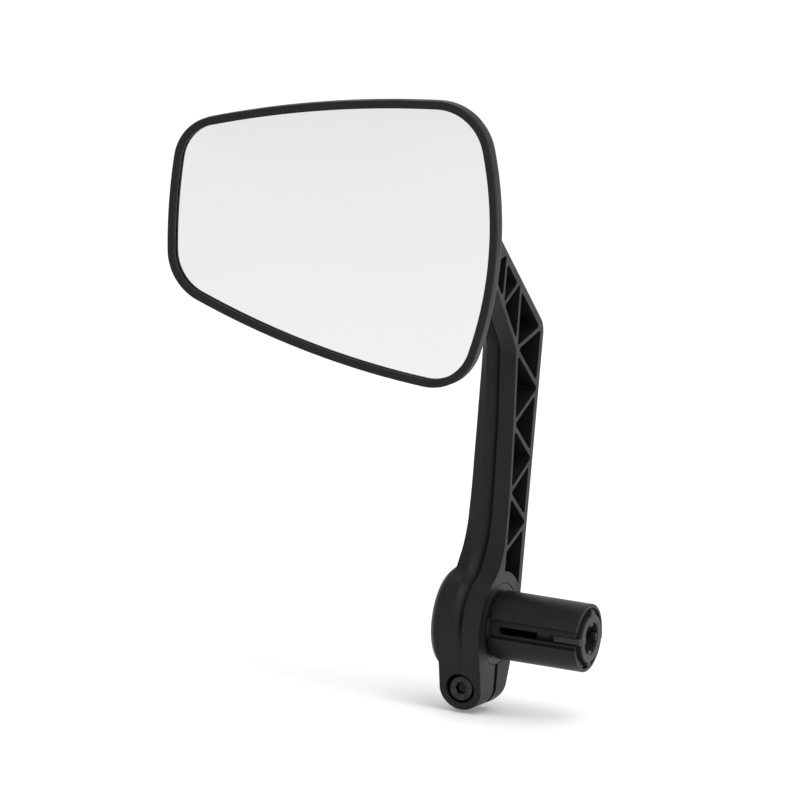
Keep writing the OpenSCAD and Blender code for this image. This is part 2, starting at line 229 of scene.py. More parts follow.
def combine(bm, tools, operation="DIFFERENCE"):
    """Cuts the tools from a solid, joins them to it, or keeps what they share."""
    for tool in tools:
        body, other = temp_object(bm, "work"), temp_object(tool, "tool")
        step = body.modifiers.new("combine", "BOOLEAN")
        step.operation, step.solver, step.object = operation, "EXACT", other
        bm = applied(body)
        bpy.data.objects.remove(other)
    return bm


def bevelled(bm, width, segments=2, angle_deg=40):
    """Breaks every edge sharper than the angle."""
    bmesh.ops.remove_doubles(bm, verts=bm.verts, dist=5e-4)
    bmesh.ops.dissolve_limit(bm, angle_limit=math.radians(0.3), verts=bm.verts, edges=bm.edges)
    body = temp_object(bm, "work")
    step = body.modifiers.new("edges", "BEVEL")
    step.width, step.segments, step.profile = width, segments, 0.5
    step.limit_method, step.angle_limit = "ANGLE", math.radians(angle_deg)
    step.use_clamp_overlap, step.miter_outer = True, "MITER_ARC"
    return applied(body)


def piece(bm, name, body, material, replaces=(), smooth_deg=35, weighted=True):
    """Scales a solid to metres, shades it, and hangs it on its body in place of the CAD nodes."""
    bmesh.ops.remove_doubles(bm, verts=bm.verts, dist=2e-4)
    bmesh.ops.scale(bm, vec=(MM, MM, MM), verts=bm.verts)
    obj = temp_object(bm, name)
    obj.data.materials.clear()
    obj.data.materials.append(material)
    obj.data.polygons.foreach_set("use_smooth", [True] * len(obj.data.polygons))
    obj.data.set_sharp_from_angle(angle=math.radians(smooth_deg))
    if weighted:
        shade = obj.modifiers.new("face weights", "WEIGHTED_NORMAL")
        shade.keep_sharp = True
    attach(obj, body)
    if replaces:
        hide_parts(*replaces)
    loose = sum(1 for e in obj.data.edges if e.is_loose)
    print(f"{name}: {len(obj.data.vertices)} points, {len(obj.data.polygons)} faces, {loose} loose edges")
    return obj


# %% [markdown]
# ## Materials
# Colours are given as the hex values a colour chart would state, and one function turns them into the
# linear values that the renderer mixes. One small function adds a node, sets it and links it.

# %% Colour and node helpers
def linear(hex_code):
    channels = [int(hex_code[i:i + 2], 16) / 255 for i in (1, 3, 5)]
    return tuple(c / 12.92 if c <= 0.04045 else ((c + 0.055) / 1.055) ** 2.4 for c in channels) + (1.0,)


def new_material(name, hex_code, roughness, metallic=0.0, **sockets):
    material = bpy.data.materials.new(name)
    material.use_nodes = True
    shader = material.node_tree.nodes["Principled BSDF"]
    shader.inputs["Base Color"].default_value = linear(hex_code)
    shader.inputs["Roughness"].default_value = roughness
    shader.inputs["Metallic"].default_value = metallic
    for socket, value in sockets.items():
        shader.inputs[socket.replace("_", " ")].default_value = value
    return material, material.node_tree, shader


def add(tree, kind, links=(), settings=(), **inputs):
    """Adds a node; links are (socket, source output), settings are (property, value)."""
    node = tree.nodes.new(kind)
    for key, value in settings:
        setattr(node, key, value)
    for key, value in inputs.items():
        node.inputs[key.replace("_", " ")].default_value = value
    for socket, source in links:
        tree.links.new(source, node.inputs[socket])
    return node


def per_mm(size_mm):
    """Noise scale on Object coordinates for features of this size."""
    return 1.0 / (size_mm * MM)


# %% [markdown]
# ### Glass-filled nylon, injection moulded
# The housing, arm and hub are black nylon with short glass fibre. The mould is spark-eroded, which
# leaves a fine even grain that scatters light, so the part looks satin rather than shiny. Under the
# grain the wall sinks and flows a little, which shows as very soft, wide changes in the gloss.

# %% Moulded nylon
def moulded_nylon(name, hex_code, roughness, grain_mm=0.22, grain=0.35):
    material, tree, shader = new_material(name, hex_code, roughness, IOR=1.53, Specular_IOR_Level=0.17)
    place = add(tree, "ShaderNodeTexCoord").outputs["Object"]
    grain_noise = add(tree, "ShaderNodeTexNoise", [("Vector", place)], Scale=per_mm(grain_mm), Detail=2.0)
    flow = add(tree, "ShaderNodeTexNoise", [("Vector", place)], Scale=per_mm(9.0), Detail=3.0)
    fibre = add(tree, "ShaderNodeTexNoise", [("Vector", place)],
                Scale=per_mm(0.6), Detail=4.0, Distortion=1.2)
    gloss = add(tree, "ShaderNodeMapRange", [("Value", flow.outputs["Fac"])],
                From_Min=0.3, From_Max=0.7, To_Min=roughness - 0.05, To_Max=roughness + 0.06)
    tree.links.new(gloss.outputs["Result"], shader.inputs["Roughness"])
    base = linear(hex_code)
    lighter = tuple(min(1.0, c * 1.5 + 0.0015) for c in base[:3]) + (1.0,)
    ramp = add(tree, "ShaderNodeValToRGB", [("Fac", fibre.outputs["Fac"])])
    ramp.color_ramp.elements[0].position, ramp.color_ramp.elements[0].color = 0.35, base
    ramp.color_ramp.elements[1].position, ramp.color_ramp.elements[1].color = 0.75, lighter
    tree.links.new(ramp.outputs["Color"], shader.inputs["Base Color"])
    bump = add(tree, "ShaderNodeBump", [("Height", grain_noise.outputs["Fac"])],
               Strength=grain, Distance=0.02 * MM)
    tree.links.new(bump.outputs["Normal"], shader.inputs["Normal"])
    return material


NYLON = moulded_nylon("glass_filled_nylon_moulded", "#0F0F10", 0.46)
NYLON_HUB = moulded_nylon("glass_filled_nylon_hub", "#0F0F10", 0.42, grain_mm=0.18, grain=0.25)
NYLON_INNER = moulded_nylon("nylon_inner_moulding", "#222224", 0.4, grain_mm=0.3, grain=0.15)


# %% [markdown]
# ### Metals
# The cap screws are black-oxide steel: a dark, thin conversion layer over turned metal. The hidden
# washers, nuts and the plate are zinc plated, with the faint cloudy bloom that a passivated layer has.

# %% Plated and blackened steel
def coated_steel(name, dark, light, roughness, cloud_mm):
    material, tree, shader = new_material(name, dark, roughness, metallic=1.0)
    place = add(tree, "ShaderNodeTexCoord").outputs["Object"]
    cloud = add(tree, "ShaderNodeTexNoise", [("Vector", place)], Scale=per_mm(cloud_mm), Detail=4.0)
    ramp = add(tree, "ShaderNodeValToRGB", [("Fac", cloud.outputs["Fac"])])
    ramp.color_ramp.elements[0].position, ramp.color_ramp.elements[0].color = 0.35, linear(dark)
    ramp.color_ramp.elements[1].position, ramp.color_ramp.elements[1].color = 0.7, linear(light)
    tree.links.new(ramp.outputs["Color"], shader.inputs["Base Color"])
    gloss = add(tree, "ShaderNodeMapRange", [("Value", cloud.outputs["Fac"])],
                To_Min=roughness - 0.07, To_Max=roughness + 0.1)
    tree.links.new(gloss.outputs["Result"], shader.inputs["Roughness"])
    scratch = add(tree, "ShaderNodeTexNoise", [("Vector", place)], Scale=per_mm(0.15), Detail=2.0)
    bump = add(tree, "ShaderNodeBump", [("Height", scratch.outputs["Fac"])],
               Strength=0.15, Distance=0.01 * MM)
    tree.links.new(bump.outputs["Normal"], shader.inputs["Normal"])
    return material


BLACK_STEEL = coated_steel("black_oxide_steel", "#2B2B2D", "#3A3A3C", 0.42, 1.2)
ZINC_STEEL = coated_steel("zinc_plated_steel", "#A9ABAF", "#C9CACB", 0.32, 2.5)


# %% [markdown]
# ### Mirror, foam and acetal
# The mirror is metallised plastic: a near perfect reflector with the slightest haze from wiping. The
# tape behind it is closed-cell foam, with cells about a third of a millimetre across. The ball liner
# is acetal, white and waxy.

# %% Mirror coating, foam tape and acetal
def mirror_coating():
    material, tree, shader = new_material("chromed_mirror_plastic", "#DEDFDF", 0.02, metallic=1.0)
    place = add(tree, "ShaderNodeTexCoord").outputs["Object"]
    haze = add(tree, "ShaderNodeTexNoise", [("Vector", place)],
               Scale=per_mm(22.0), Detail=5.0, Distortion=0.6)
    wiped = add(tree, "ShaderNodeMapRange", [("Value", haze.outputs["Fac"])],
                From_Min=0.35, From_Max=0.75, To_Min=0.012, To_Max=0.05)
    tree.links.new(wiped.outputs["Result"], shader.inputs["Roughness"])
    return material


def closed_cell_foam():
    material, tree, shader = new_material("closed_cell_foam_tape", "#3A3A3C", 0.85)
    place = add(tree, "ShaderNodeTexCoord").outputs["Object"]
    cells = add(tree, "ShaderNodeTexVoronoi", [("Vector", place)], Scale=per_mm(0.35))
    shade = add(tree, "ShaderNodeValToRGB", [("Fac", cells.outputs["Distance"])])
    shade.color_ramp.elements[0].color = linear("#2A2A2C")
    shade.color_ramp.elements[1].color = linear("#4B4B4E")
    tree.links.new(shade.outputs["Color"], shader.inputs["Base Color"])
    bump = add(tree, "ShaderNodeBump", [("Height", cells.outputs["Distance"])],
               Strength=0.5, Distance=0.08 * MM)
    tree.links.new(bump.outputs["Normal"], shader.inputs["Normal"])
    return material


def white_acetal():
    material, tree, shader = new_material("acetal_liner", "#E6E6DF", 0.35, Subsurface_Weight=0.1)
    place = add(tree, "ShaderNodeTexCoord").outputs["Object"]
    mottle = add(tree, "ShaderNodeTexNoise", [("Vector", place)], Scale=per_mm(1.5), Detail=3.0)
    shade = add(tree, "ShaderNodeValToRGB", [("Fac", mottle.outputs["Fac"])])
    shade.color_ramp.elements[0].color = linear("#DEDED6")
    shade.color_ramp.elements[1].color = linear("#EFEFE9")
    tree.links.new(shade.outputs["Color"], shader.inputs["Base Color"])
    return material


MIRROR = mirror_coating()
FOAM = closed_cell_foam()
ACETAL = white_acetal()


# %% [markdown]
# ## The head outline
# The mirror is a soft trapezoid: four sides that bulge a little, and four rounded corners. Each side
# is one arc, and each corner is an arc that runs into both neighbours without a kink. Growing the
# outline only changes the radii, so the lip, the glass and the shell all stay parallel.

# %% Outline of four bulged sides
CORNERS = [Vector(c) for c in ((-87, 90), (-2.1, 73), (-3, 148.8), (-87.3, 131.5))]
BULGES = (3.8, 7.4, 3.0, 1.4)
ROUNDS = (12.5, 12.0, 13.5, 11.5)
HEAD_MID = Vector((-42, 111))


def side_circle(a, b, bulge):
    chord = b - a
    radius = (chord.length_squared / 4 + bulge ** 2) / (2 * bulge)
    inward = Vector((-chord.y, chord.x)).normalized()
    return (a + b) / 2 + inward * (radius - bulge), radius


SIDES = [side_circle(CORNERS[i], CORNERS[(i + 1) % 4], BULGES[i]) for i in range(4)]


def corner_centre(i):
    """Centre of the arc that touches the two side circles from inside."""
    (c1, r1), (c2, r2) = SIDES[i - 1], SIDES[i]
    r1, r2 = r1 - ROUNDS[i], r2 - ROUNDS[i]
    line = c2 - c1
    along = (r1 ** 2 - r2 ** 2 + line.length_squared) / (2 * line.length)
    off = math.sqrt(r1 ** 2 - along ** 2)
    u = line.normalized()
    normal = Vector((-u.y, u.x))
    both = [c1 + u * along + normal * s * off for s in (1, -1)]
    return min(both, key=lambda p: (p - CORNERS[i]).length)


CORNER_MIDS = [corner_centre(i) for i in range(4)]


def head_outline(grow=0.0, corner_steps=14, side_steps=18):
    points = []
    for i in range(4):
        after = (i + 1) % 4
        start = math.atan2(*(CORNER_MIDS[i] - SIDES[i - 1][0]).yx)
        middle = math.atan2(*(CORNER_MIDS[i] - SIDES[i][0]).yx)
        end = math.atan2(*(CORNER_MIDS[after] - SIDES[i][0]).yx)
        middle = start + (middle - start) % (2 * math.pi)
        end = middle + (end - middle) % (2 * math.pi)
        start, middle, end = (math.degrees(turn) for turn in (start, middle, end))
        points += arc(CORNER_MIDS[i], ROUNDS[i] + grow, start, middle, corner_steps)[:-1]
        points += arc(SIDES[i][0], SIDES[i][1] + grow, middle, end, side_steps)[:-1]
    return points


def head_loop(grow, y, scale=1.0):
    """The outline as a loop of points at depth y, shrunk towards the head's middle."""
    return [Vector((HEAD_MID.x + (p.x - HEAD_MID.x) * scale, y, HEAD_MID.y + (p.y - HEAD_MID.y) * scale))
            for p in head_outline(grow)]


print("head outline:", len(head_outline()), "points")


# %% [markdown]
# ## Bezel
# The bezel is a moulded frame that holds the mirror against the shell. Its section is an L: a lip in
# front of the mirror and a wall round its edge. The same rounded section follows the whole outline, so
# the piece is one closed ring of loops, and the rounding of the lip is part of the section.

# %% Ring of bezel sections
LIP = 2.3
WALL = 1.1
bezel_section = filleted([(0, bezel_low.y, 0.3), (LIP, bezel_low.y, 0.6), (LIP, bezel_high.y, 0.12),
                          (LIP - WALL, bezel_high.y, 0.1), (LIP - WALL, GLASS_FRONT, 0.1),
                          (0, GLASS_FRONT, 0.12)], step_deg=18)
bm = bmesh.new()
loft(bm, [head_loop(grow, y) for grow, y in bezel_section], ring=True)
piece(solid(bm), "bezel_frame", "head", NYLON, ["bezel"])


# %% [markdown]
# ## Mirror
# The real mirror is a sheet of metallised plastic, very slightly convex so that it shows more road.
# It is made here as a stack of shrinking outlines, each a little further forward than the last. A
# tenth of a millimetre is enough to bend the reflection, and the rim stays behind the lip.

# %% Convex mirror sheet
glass_low, glass_high = box_mm("mirror_glass")
CROWN = 0.35
bm = bmesh.new()
scales = [1 - k / 12 for k in range(12)]
front = [head_loop(1.0, glass_low.y + CROWN * s ** 2, s) for s in scales]
edge = [head_loop(1.0, glass_high.y), head_loop(0.97, glass_low.y + CROWN + 0.12)]
loft(bm, edge + [head_loop(0.9, glass_low.y + CROWN + 0.02)] + front[1:])
piece(solid(bm), "mirror_sheet", "head", MIRROR, ["mirror_glass"], weighted=False)


# %% [markdown]
# ## Foam tape
# A die-cut ring of foam tape sits between the mirror and the shell, so that the mirror can't rattle.

# %% Foam ring
tape_low, tape_high = box_mm("glass_tape")
tape_section = filleted([(-0.7, tape_low.y, 0.1), (-0.7, tape_high.y, 0.1),
                         (-4.5, tape_high.y, 0.1), (-4.5, tape_low.y, 0.1)], step_deg=30)
bm = bmesh.new()
loft(bm, [head_loop(grow, y) for grow, y in tape_section], ring=True)
piece(solid(bm), "foam_tape_ring", "head", FOAM, ["glass_tape"])


# %% [markdown]
# ## Rear shell
# The shell is one moulding with an even wall: a dome that falls steeply at the rim and is nearly flat
# in the middle. A curve of the eighth power has that shape. The outer dome is cut by an inner one, and
# the boss that holds the ball socket is added, with three pillars for the tapping screws.

# %% Dome, boss and socket
shell_low = box_mm("head_shell")[0]
plate_low, plate_high = box_mm("socket_plate")
DOME_FOOT = bezel_high.y + 0.05
DOME_H = 7.0
DOME_WALL = 1.6
DOME_EDGE = LIP - 0.15
PILOT_R = 0.9
BOSS_R = 8.8
SOCKET_R = 5.39
CAP_R = 7.5
PILLAR_PITCH = 11.6
PILLARS = [Vector((BALL.x + PILLAR_PITCH * cosd(d), BALL.z + PILLAR_PITCH * sind(d)))
           for d in (90, 180, 270)]


def dome_loops(grow, height):
    """Loops of a dome from its foot to its nearly flat middle."""
    shares = [sind(90 * (k + 0.5) / 14) for k in range(13, 2, -1)]
    return [head_loop(grow, DOME_FOOT + height * math.sqrt(1 - s ** 8), s) for s in shares]


PLATE_BACK = plate_high.y
bm = bmesh.new()
rim = [head_loop(LIP - 1.35, shell_low.y + 0.02), head_loop(LIP - 1.35, DOME_FOOT),
       head_loop(LIP - 0.25, DOME_FOOT), head_loop(DOME_EDGE, DOME_FOOT + 0.1)]
loft(bm, rim + dome_loops(DOME_EDGE, DOME_H))
shell = solid(bm)

bm = bmesh.new()
floor_loops = [head_loop(-0.5, shell_low.y - 1), head_loop(-0.5, tape_high.y),
               head_loop(-0.4, tape_high.y + 0.1)]
loft(bm, floor_loops + dome_loops(DOME_EDGE - DOME_WALL, DOME_H - DOME_WALL)[1:])
shell = combine(shell, [solid(bm)])

boss_profile = [(PLATE_BACK, 0), (PLATE_BACK, BOSS_R), (BALL.y + 1, BOSS_R)]
boss_profile += [(BALL.y + 1 + 3 * sind(a), BOSS_R - 3.1 * (1 - cosd(a)))
                 for a in range(15, 91, 15)] + [(BALL.y + 4, 0)]
boss = lathe("y", boss_profile, (BALL.x, 0, BALL.z))
pillars = [lathe("y", [(PLATE_BACK, 0), (PLATE_BACK, 2.3), (PLATE_BACK + 4, 2.15), (PLATE_BACK + 4, 0)],
                 (p.x, 0, p.y), steps=32) for p in PILLARS]
shell = combine(shell, [boss] + pillars, "UNION")

cap_seat = [(PLATE_BACK - 1, 0), (PLATE_BACK - 1, CAP_R), (BALL.y, CAP_R), (BALL.y, 0)]
socket = [(BALL.y + SOCKET_R * sind(a), SOCKET_R * cosd(a))
          for a in range(-90, 91, 6)]
mouth = [(BALL.y, 0), (BALL.y, 4.4), (BALL.y + 3.2, 4.4), (BALL.y + 4.6, 5.4), (BALL.y + 4.6, 0)]
cuts = [lathe("y", profile, (BALL.x, 0, BALL.z)) for profile in (cap_seat, socket, mouth)]
pilot = [(PLATE_BACK - 1, 0), (PLATE_BACK - 1, PILOT_R), (PLATE_BACK + 3.3, PILOT_R), (PLATE_BACK + 3.3, 0)]
cuts += [lathe("y", pilot, (p.x, 0, p.y), steps=24) for p in PILLARS]
shell = combine(shell, cuts)
shell = piece(shell, "rear_shell", "head", NYLON, ["head_shell"])


# %% [markdown]
# ## Arm: the outline seen from the side
# The arm and its clamp ring are one moulding. Seen from the side it is a single closed outline: round
# the front of the ring, up the slightly bent front edge, over the end, and down the back. Only the
# front edge has a shaped surface, so each point of it also carries how strongly that shape shows.

# %% Outline in Y and Z
END_Y = -23.0
FRONT_KINK, BACK_KINK = Vector((-3.2, 77.5)), Vector((15.1, 81.6))
FRONT_SLOPE, BACK_SLOPE = -1.125, -0.8267


def front_z(y):
    return FRONT_KINK.y + FRONT_SLOPE * (y - FRONT_KINK.x)


def back_z(y):
    return BACK_KINK.y + BACK_SLOPE * (y - BACK_KINK.x)


def spaced(points, step):
    """The same path with points added so that none are further apart than the step."""
    path = []
    for a, b in zip(points, points[1:]):
        count = max(1, math.ceil((b - a).length / step))
        path += [a.lerp(b, k / count) for k in range(count)]
    return path + [points[-1]]


def bezier(a, b, c, d, steps):
    """Points of a curve that leaves a towards b and reaches d from c."""
    a, b, c, d = (Vector(p) for p in (a, b, c, d))
    return [a * (1 - t) ** 3 + b * 3 * t * (1 - t) ** 2 + c * 3 * t * t * (1 - t) + d * t ** 3
            for t in (k / steps for k in range(steps + 1))]


ring_front = arc((0, 0), RING_R, 196.5, 118, 34)
lean = Vector((sind(118), -cosd(118)))
blend = bezier(ring_front[-1], ring_front[-1] + lean * 4.5, (-0.45, 19), (-0.3, 25), 16)
straight = filleted([(-0.3, 25, 0), (-0.1, 36.5, 90), (-1.2, 56, 90), (FRONT_KINK.x, FRONT_KINK.y, 6.5),
                     (END_Y, front_z(END_Y), 0)], closed=False, step_deg=4)
front_line = spaced([Vector((-10.9, -13.65))] + ring_front + blend[1:] + straight[1:], 1.6)
back_line = spaced(filleted([(END_Y, back_z(END_Y), 0), (BACK_KINK.x, BACK_KINK.y, 6), (13.1, 5.7, 0)],
                            closed=False, step_deg=5), 6.0)
ring_back = arc((0, 0), RING_R, 23.5, -50, 14)
tongue = filleted([(9.55, -12.4, 0), (6.9, -20.7, 2.5), (4.2, -24, 2), (-8.02, -24, 0.4),
                   (-10.9, -13.65, 0)], closed=False, step_deg=15)
print("front line:", len(front_line), "points; back line:", len(back_line))


# %% [markdown]
# ## Arm: the front surface
# Along the front runs a flat band, then a small step down into a groove, then a hollow rise to a
# ridge, and a slope to the outer side. These lines swing and fade along the arm, so their places are
# given at a few heights and blended between. A column of points is drawn at each place across the
# width, and the columns are joined.

# %% Columns across the width
TAPER_LOW, TAPER_HIGH, TAPER = 22.0, 76.0, 1.5
RING_WIDTH = FACE_X - RING_X

# height, edge of the flat band, groove depth, ridge x, ridge setback, outer edge setback
STATIONS = [(-12.5, 4.9, 0.0, 6.5, 0.0, 0.0),
            (-8, 4.8, 0.5, 7.0, 0.0, 0.05),
            (0, 5.1, 1.4, 8.0, 0.05, 0.15),
            (10, 5.4, 1.7, 9.2, 0.0, 0.0),
            (17, 5.4, 1.8, 9.7, -0.4, -0.6),
            (22, 5.1, 1.8, 9.3, 0.1, 0.5),
            (27, 4.8, 1.8, 8.8, 0.25, 1.3),
            (45, 4.7, 1.8, 8.4, 0.25, 1.2),
            (59, 4.65, 1.8, 8.5, 0.3, 1.3),
            (72, 4.9, 1.8, 8.9, 0.3, 1.75),
            (130, 4.9, 1.8, 9.1, 0.3, 2.0)]
# distance past the band's edge, share of the groove's depth
STEP = [(-1.6, 0.0), (-0.35, 0.0), (-0.12, 0.03), (-0.02, 0.14),
        (0.03, 0.45), (0.1, 0.85), (0.3, 0.97), (0.7, 1.0)]
RISE = [0.12, 0.25, 0.4, 0.55, 0.7, 0.85, 0.95]


def station(z):
    for low, high in zip(STATIONS, STATIONS[1:]):
        if z <= high[0]:
            t = max(0.0, (z - low[0]) / (high[0] - low[0]))
            return [a + (b - a) * t for a, b in zip(low, high)][1:]
    return STATIONS[-1][1:]


def columns_at(z):
    """(x, setback) of every column at this height."""
    band, depth, ridge, top, outer = station(z)
    edge_x = RING_WIDTH - TAPER * min(1.0, max(0.0, (z - TAPER_LOW) / (TAPER_HIGH - TAPER_LOW)))
    rows = [(0.0, 0.0)] + [(band + x, share * depth) for x, share in STEP]
    low = band + STEP[-1][0]
    rows += [(low + (ridge - low) * t, top + (depth - top) * (1 - t) ** 1.7) for t in RISE]
    slope = (outer - top) / (edge_x - ridge)
    rows += [(ridge, top + 0.02), (ridge + 0.25, top + 0.25 * slope + 0.02)]
    rows += [(x, top + slope * (x - ridge)) for x in (ridge + 0.8, RING_WIDTH)]
    return [(FACE_X - x, s) for x, s in rows]


def outward(path, i):
    ahead, behind = path[min(i + 1, len(path) - 1)], path[max(i - 1, 0)]
    d = (ahead - behind).normalized()
    return Vector((-d.y, d.x))


def arm_loops():
    count = len(columns_at(0))
    loops = []
    for k in range(count):
        loop = []
        for i, p in enumerate(front_line):
            x, s = columns_at(p.y)[k]
            away = outward(front_line, i)
            if i == len(front_line) - 1:
                away = Vector((0, -math.hypot(1, FRONT_SLOPE)))
            q = p - away * s
            loop.append(Vector((x, q.x, q.y)))
        for p in back_line + ring_back + tongue[:-1]:
            loop.append(Vector((columns_at(p.y)[k][0], p.x, p.y)))
        loops.append(loop)
    return loops


bm = bmesh.new()
loft(bm, arm_loops())
arm = solid(bm)
print("arm blank:", len(arm.verts), "points")


# %% [markdown]
# ## Arm: truss pockets
# Thick plastic sinks as it cools, so the arm is cored from its open side and only thin ribs are left.
# Each pocket is the triangle between two ribs, drawn from the points where the ribs meet and moved in
# by half a rib. Pockets narrow a little with depth, which lets the mould core slide out.

# %% Pocket cores
RIB, BACK_WALL, FRONT_WALL = 1.25, 2.1, 1.25
WEB_X = RING_X + 1.5 + 2.0
STEP_X = FACE_X - 4.4
TOP_RIB_Z = 105.3
END_WALL_Y = END_Y + 1.8
low_front = [(-0.4, 20.1), (-0.1, 36.6), (-1.2, 56), tuple(FRONT_KINK)]
low_back = [(13.65, 26.6), (14.12, 44.4), (14.63, 63.9), tuple(BACK_KINK)]
up_front = [tuple(FRONT_KINK), (-15.3, front_z(-15.3))]
up_back = [tuple(BACK_KINK), (-3.4, back_z(-3.4)), (-14.6, back_z(-14.6))]
HALF = RIB / 2
CORES = []
for i in range(3):
    CORES.append(([low_front[i], low_back[i], low_front[i + 1]], [HALF, HALF, "front"]))
    CORES.append(([low_front[i + 1], low_back[i], low_back[i + 1]], [HALF, BACK_WALL, HALF]))
CORES += [([up_front[0], up_back[0], up_back[1]], [HALF, BACK_WALL, HALF]),
          ([up_front[0], up_back[1], up_front[1]], [HALF, HALF, "front"]),
          ([up_front[1], up_back[1], up_back[2]], [HALF, BACK_WALL, HALF]),
          ([up_front[1], up_back[2], (END_WALL_Y, TOP_RIB_Z), (END_WALL_Y, front_z(END_WALL_Y))],
           [HALF, HALF, 0.0, "front"]),
          ([(END_WALL_Y, TOP_RIB_Z), up_back[2], (END_WALL_Y, back_z(END_WALL_Y))], [HALF, BACK_WALL, 0.0])]


def inset(corners, walls):
    """A convex outline with every side moved in by its own wall."""
    points = [Vector(c) for c in corners]
    area = sum(a.x * b.y - b.x * a.y for a, b in zip(points, points[1:] + points[:1]))
    side = 1 if area > 0 else -1
    moved = []
    for i, p in enumerate(points):
        before, after = points[i - 1], points[(i + 1) % len(points)]
        u, v = (p - before).normalized(), (after - p).normalized()
        a = p + Vector((-u.y, u.x)) * side * walls[i - 1]
        b = p + Vector((-v.y, v.x)) * side * walls[i]
        t = ((b - a).x * v.y - (b - a).y * v.x) / (u.x * v.y - u.y * v.x)
        moved.append(a + u * t)
    return moved


# x, front wall, extra on every wall
CORE_DEPTHS = [(FACE_X + 0.4, FRONT_WALL, -0.02), (STEP_X + 0.35, FRONT_WALL + 0.15, 0.08),
               (STEP_X - 0.1, FRONT_WALL + 1.5, 0.1), (WEB_X + 0.25, FRONT_WALL + 1.6, 0.2),
               (WEB_X, FRONT_WALL + 1.8, 0.45)]


def core(corners, walls, radius=0.7):
    """One mould core, from outside the open face down to the web."""
    loops = []
    for x, front, draft in CORE_DEPTHS:
        sides = inset(corners, [(front if w == "front" else w) + draft for w in walls])
        outline = filleted([(s.x, s.y, radius) for s in sides], step_deg=20)
        loops.append([Vector((x, p.x, p.y)) for p in outline])
    return loops


def foot_core(x, front, draft):
    """The lowest core, which ends on the round of the ring."""
    left, right, radius = -0.4 + front + draft, 13.15 - BACK_WALL - draft, RING_R + 0.2 + draft
    rib = Vector((14.05, 6.5)).normalized()
    drop = Vector((rib.y, -rib.x)) * (HALF + draft)
    on_rib = [20.1 + drop.y + (y + 0.4 - drop.x) * rib.y / rib.x for y in (left, right + 0.25)]
    start, end = (math.degrees(math.acos(y / radius)) for y in (left, right))
    corners = [(left, on_rib[0], 0.7)] + [(p.x, p.y, 0) for p in arc((0, 0), radius, start, end, 8)]
    corners += [(right + 0.25, on_rib[1], 0.7)]
    return [Vector((x, p.x, p.y)) for p in filleted(corners, step_deg=20)]


bm = bmesh.new()
for corners, walls in CORES:
    loft(bm, core(corners, walls))
loft(bm, [foot_core(*depth) for depth in CORE_DEPTHS])
truss = solid(bm)
print("cores:", len(CORES), "with", len(truss.faces), "faces")


# %% [markdown]
# ## Arm: cutting, joining and edges
# The cores are taken out together, then the bore for the hub, the slot that lets the ring close, and
# the seats of the clamp screw. The ball that carries the head is turned and joined to the end. Last
# comes the small rounding that every moulded edge has.

# %% Finished arm
def hexagon(across_flats, centre=(0, 0)):
    radius = across_flats / math.sqrt(3)
    return arc(centre, radius, 0, 300, 5)


HEAD_SEAT_Y, NUT_SEAT_Y, SLOT_W = -4.7, 3.2, 1.9
TONGUE_R, POCKET_R = RING_WIDTH / 2 + 0.05, 4.2
SHANK_HOLE_R, NUT_POCKET, RING_BORE = 2.25, 7.2, 11.45
screw_axis = (SCREW_X, 0, SCREW_Z)
below = arc((SCREW_X, SCREW_Z), TONGUE_R, 180, 360, 32)
outside = [(SCREW_X + 12, SCREW_Z), (SCREW_X + 12, -30), (SCREW_X - 12, -30), (SCREW_X - 12, SCREW_Z)]
outer_side = [(-20, TAPER_LOW), (RING_X, TAPER_LOW), (RING_X + TAPER, TAPER_HIGH),
              (RING_X + TAPER, 130), (-20, 130)]
screw_pocket = [(-30, 0), (-30, POCKET_R), (HEAD_SEAT_Y, POCKET_R), (HEAD_SEAT_Y, 0)]
cuts = [truss,
        prism("y", outer_side, -60, 60),
        prism("y", below + [Vector(p) for p in outside], -40, 40),
        lathe("x", [(-20, 0), (-20, RING_BORE), (5, RING_BORE), (5, 0)], steps=160),
        prism("x", [(-SLOT_W / 2, -30), (SLOT_W / 2, -30), (SLOT_W / 2, -6), (-SLOT_W / 2, -6)], -20, 5),
        lathe("y", screw_pocket, screw_axis, steps=64),
        lathe("y", [(-8, 0), (-8, SHANK_HOLE_R), (8, SHANK_HOLE_R), (8, 0)], screw_axis, steps=48),
        prism("y", hexagon(NUT_POCKET, (SCREW_X, SCREW_Z)), NUT_SEAT_Y, 30)]
arm = combine(arm, cuts)
NECK_R, BALL_R, FOOT_R = 2.0, 4.5, 3.4
FOOT_FILLET = FOOT_R - NECK_R
neck = [(END_Y + 1, 0), (END_Y + 1, FOOT_R), (END_Y - 0.05, FOOT_R)]
neck += [(END_Y - 0.05 - FOOT_FILLET * (1 - cosd(a)), FOOT_R - FOOT_FILLET * sind(a))
         for a in range(15, 91, 15)]
join = math.degrees(math.asin(NECK_R / BALL_R))
neck += [(BALL.y + BALL_R * cosd(a), BALL_R * sind(a))
         for a in [join + (180 - join) * k / 28 for k in range(28)]] + [(BALL.y - BALL_R, 0)]
arm = combine(arm, [lathe("y", neck, (BALL.x, 0, BALL.z), steps=64)], "UNION")
arm = bevelled(arm, 0.22)
arm = piece(arm, "cranked_arm", "arm", NYLON, ["arm"])


# %% [markdown]
# ## Hub
# The hub is a turned-looking moulding: a flange, the barrel that the ring grips, and a hollow collet
# with four slots. The whole profile is one closed line spun round the plug axis, and only the slots
# are cut afterwards.

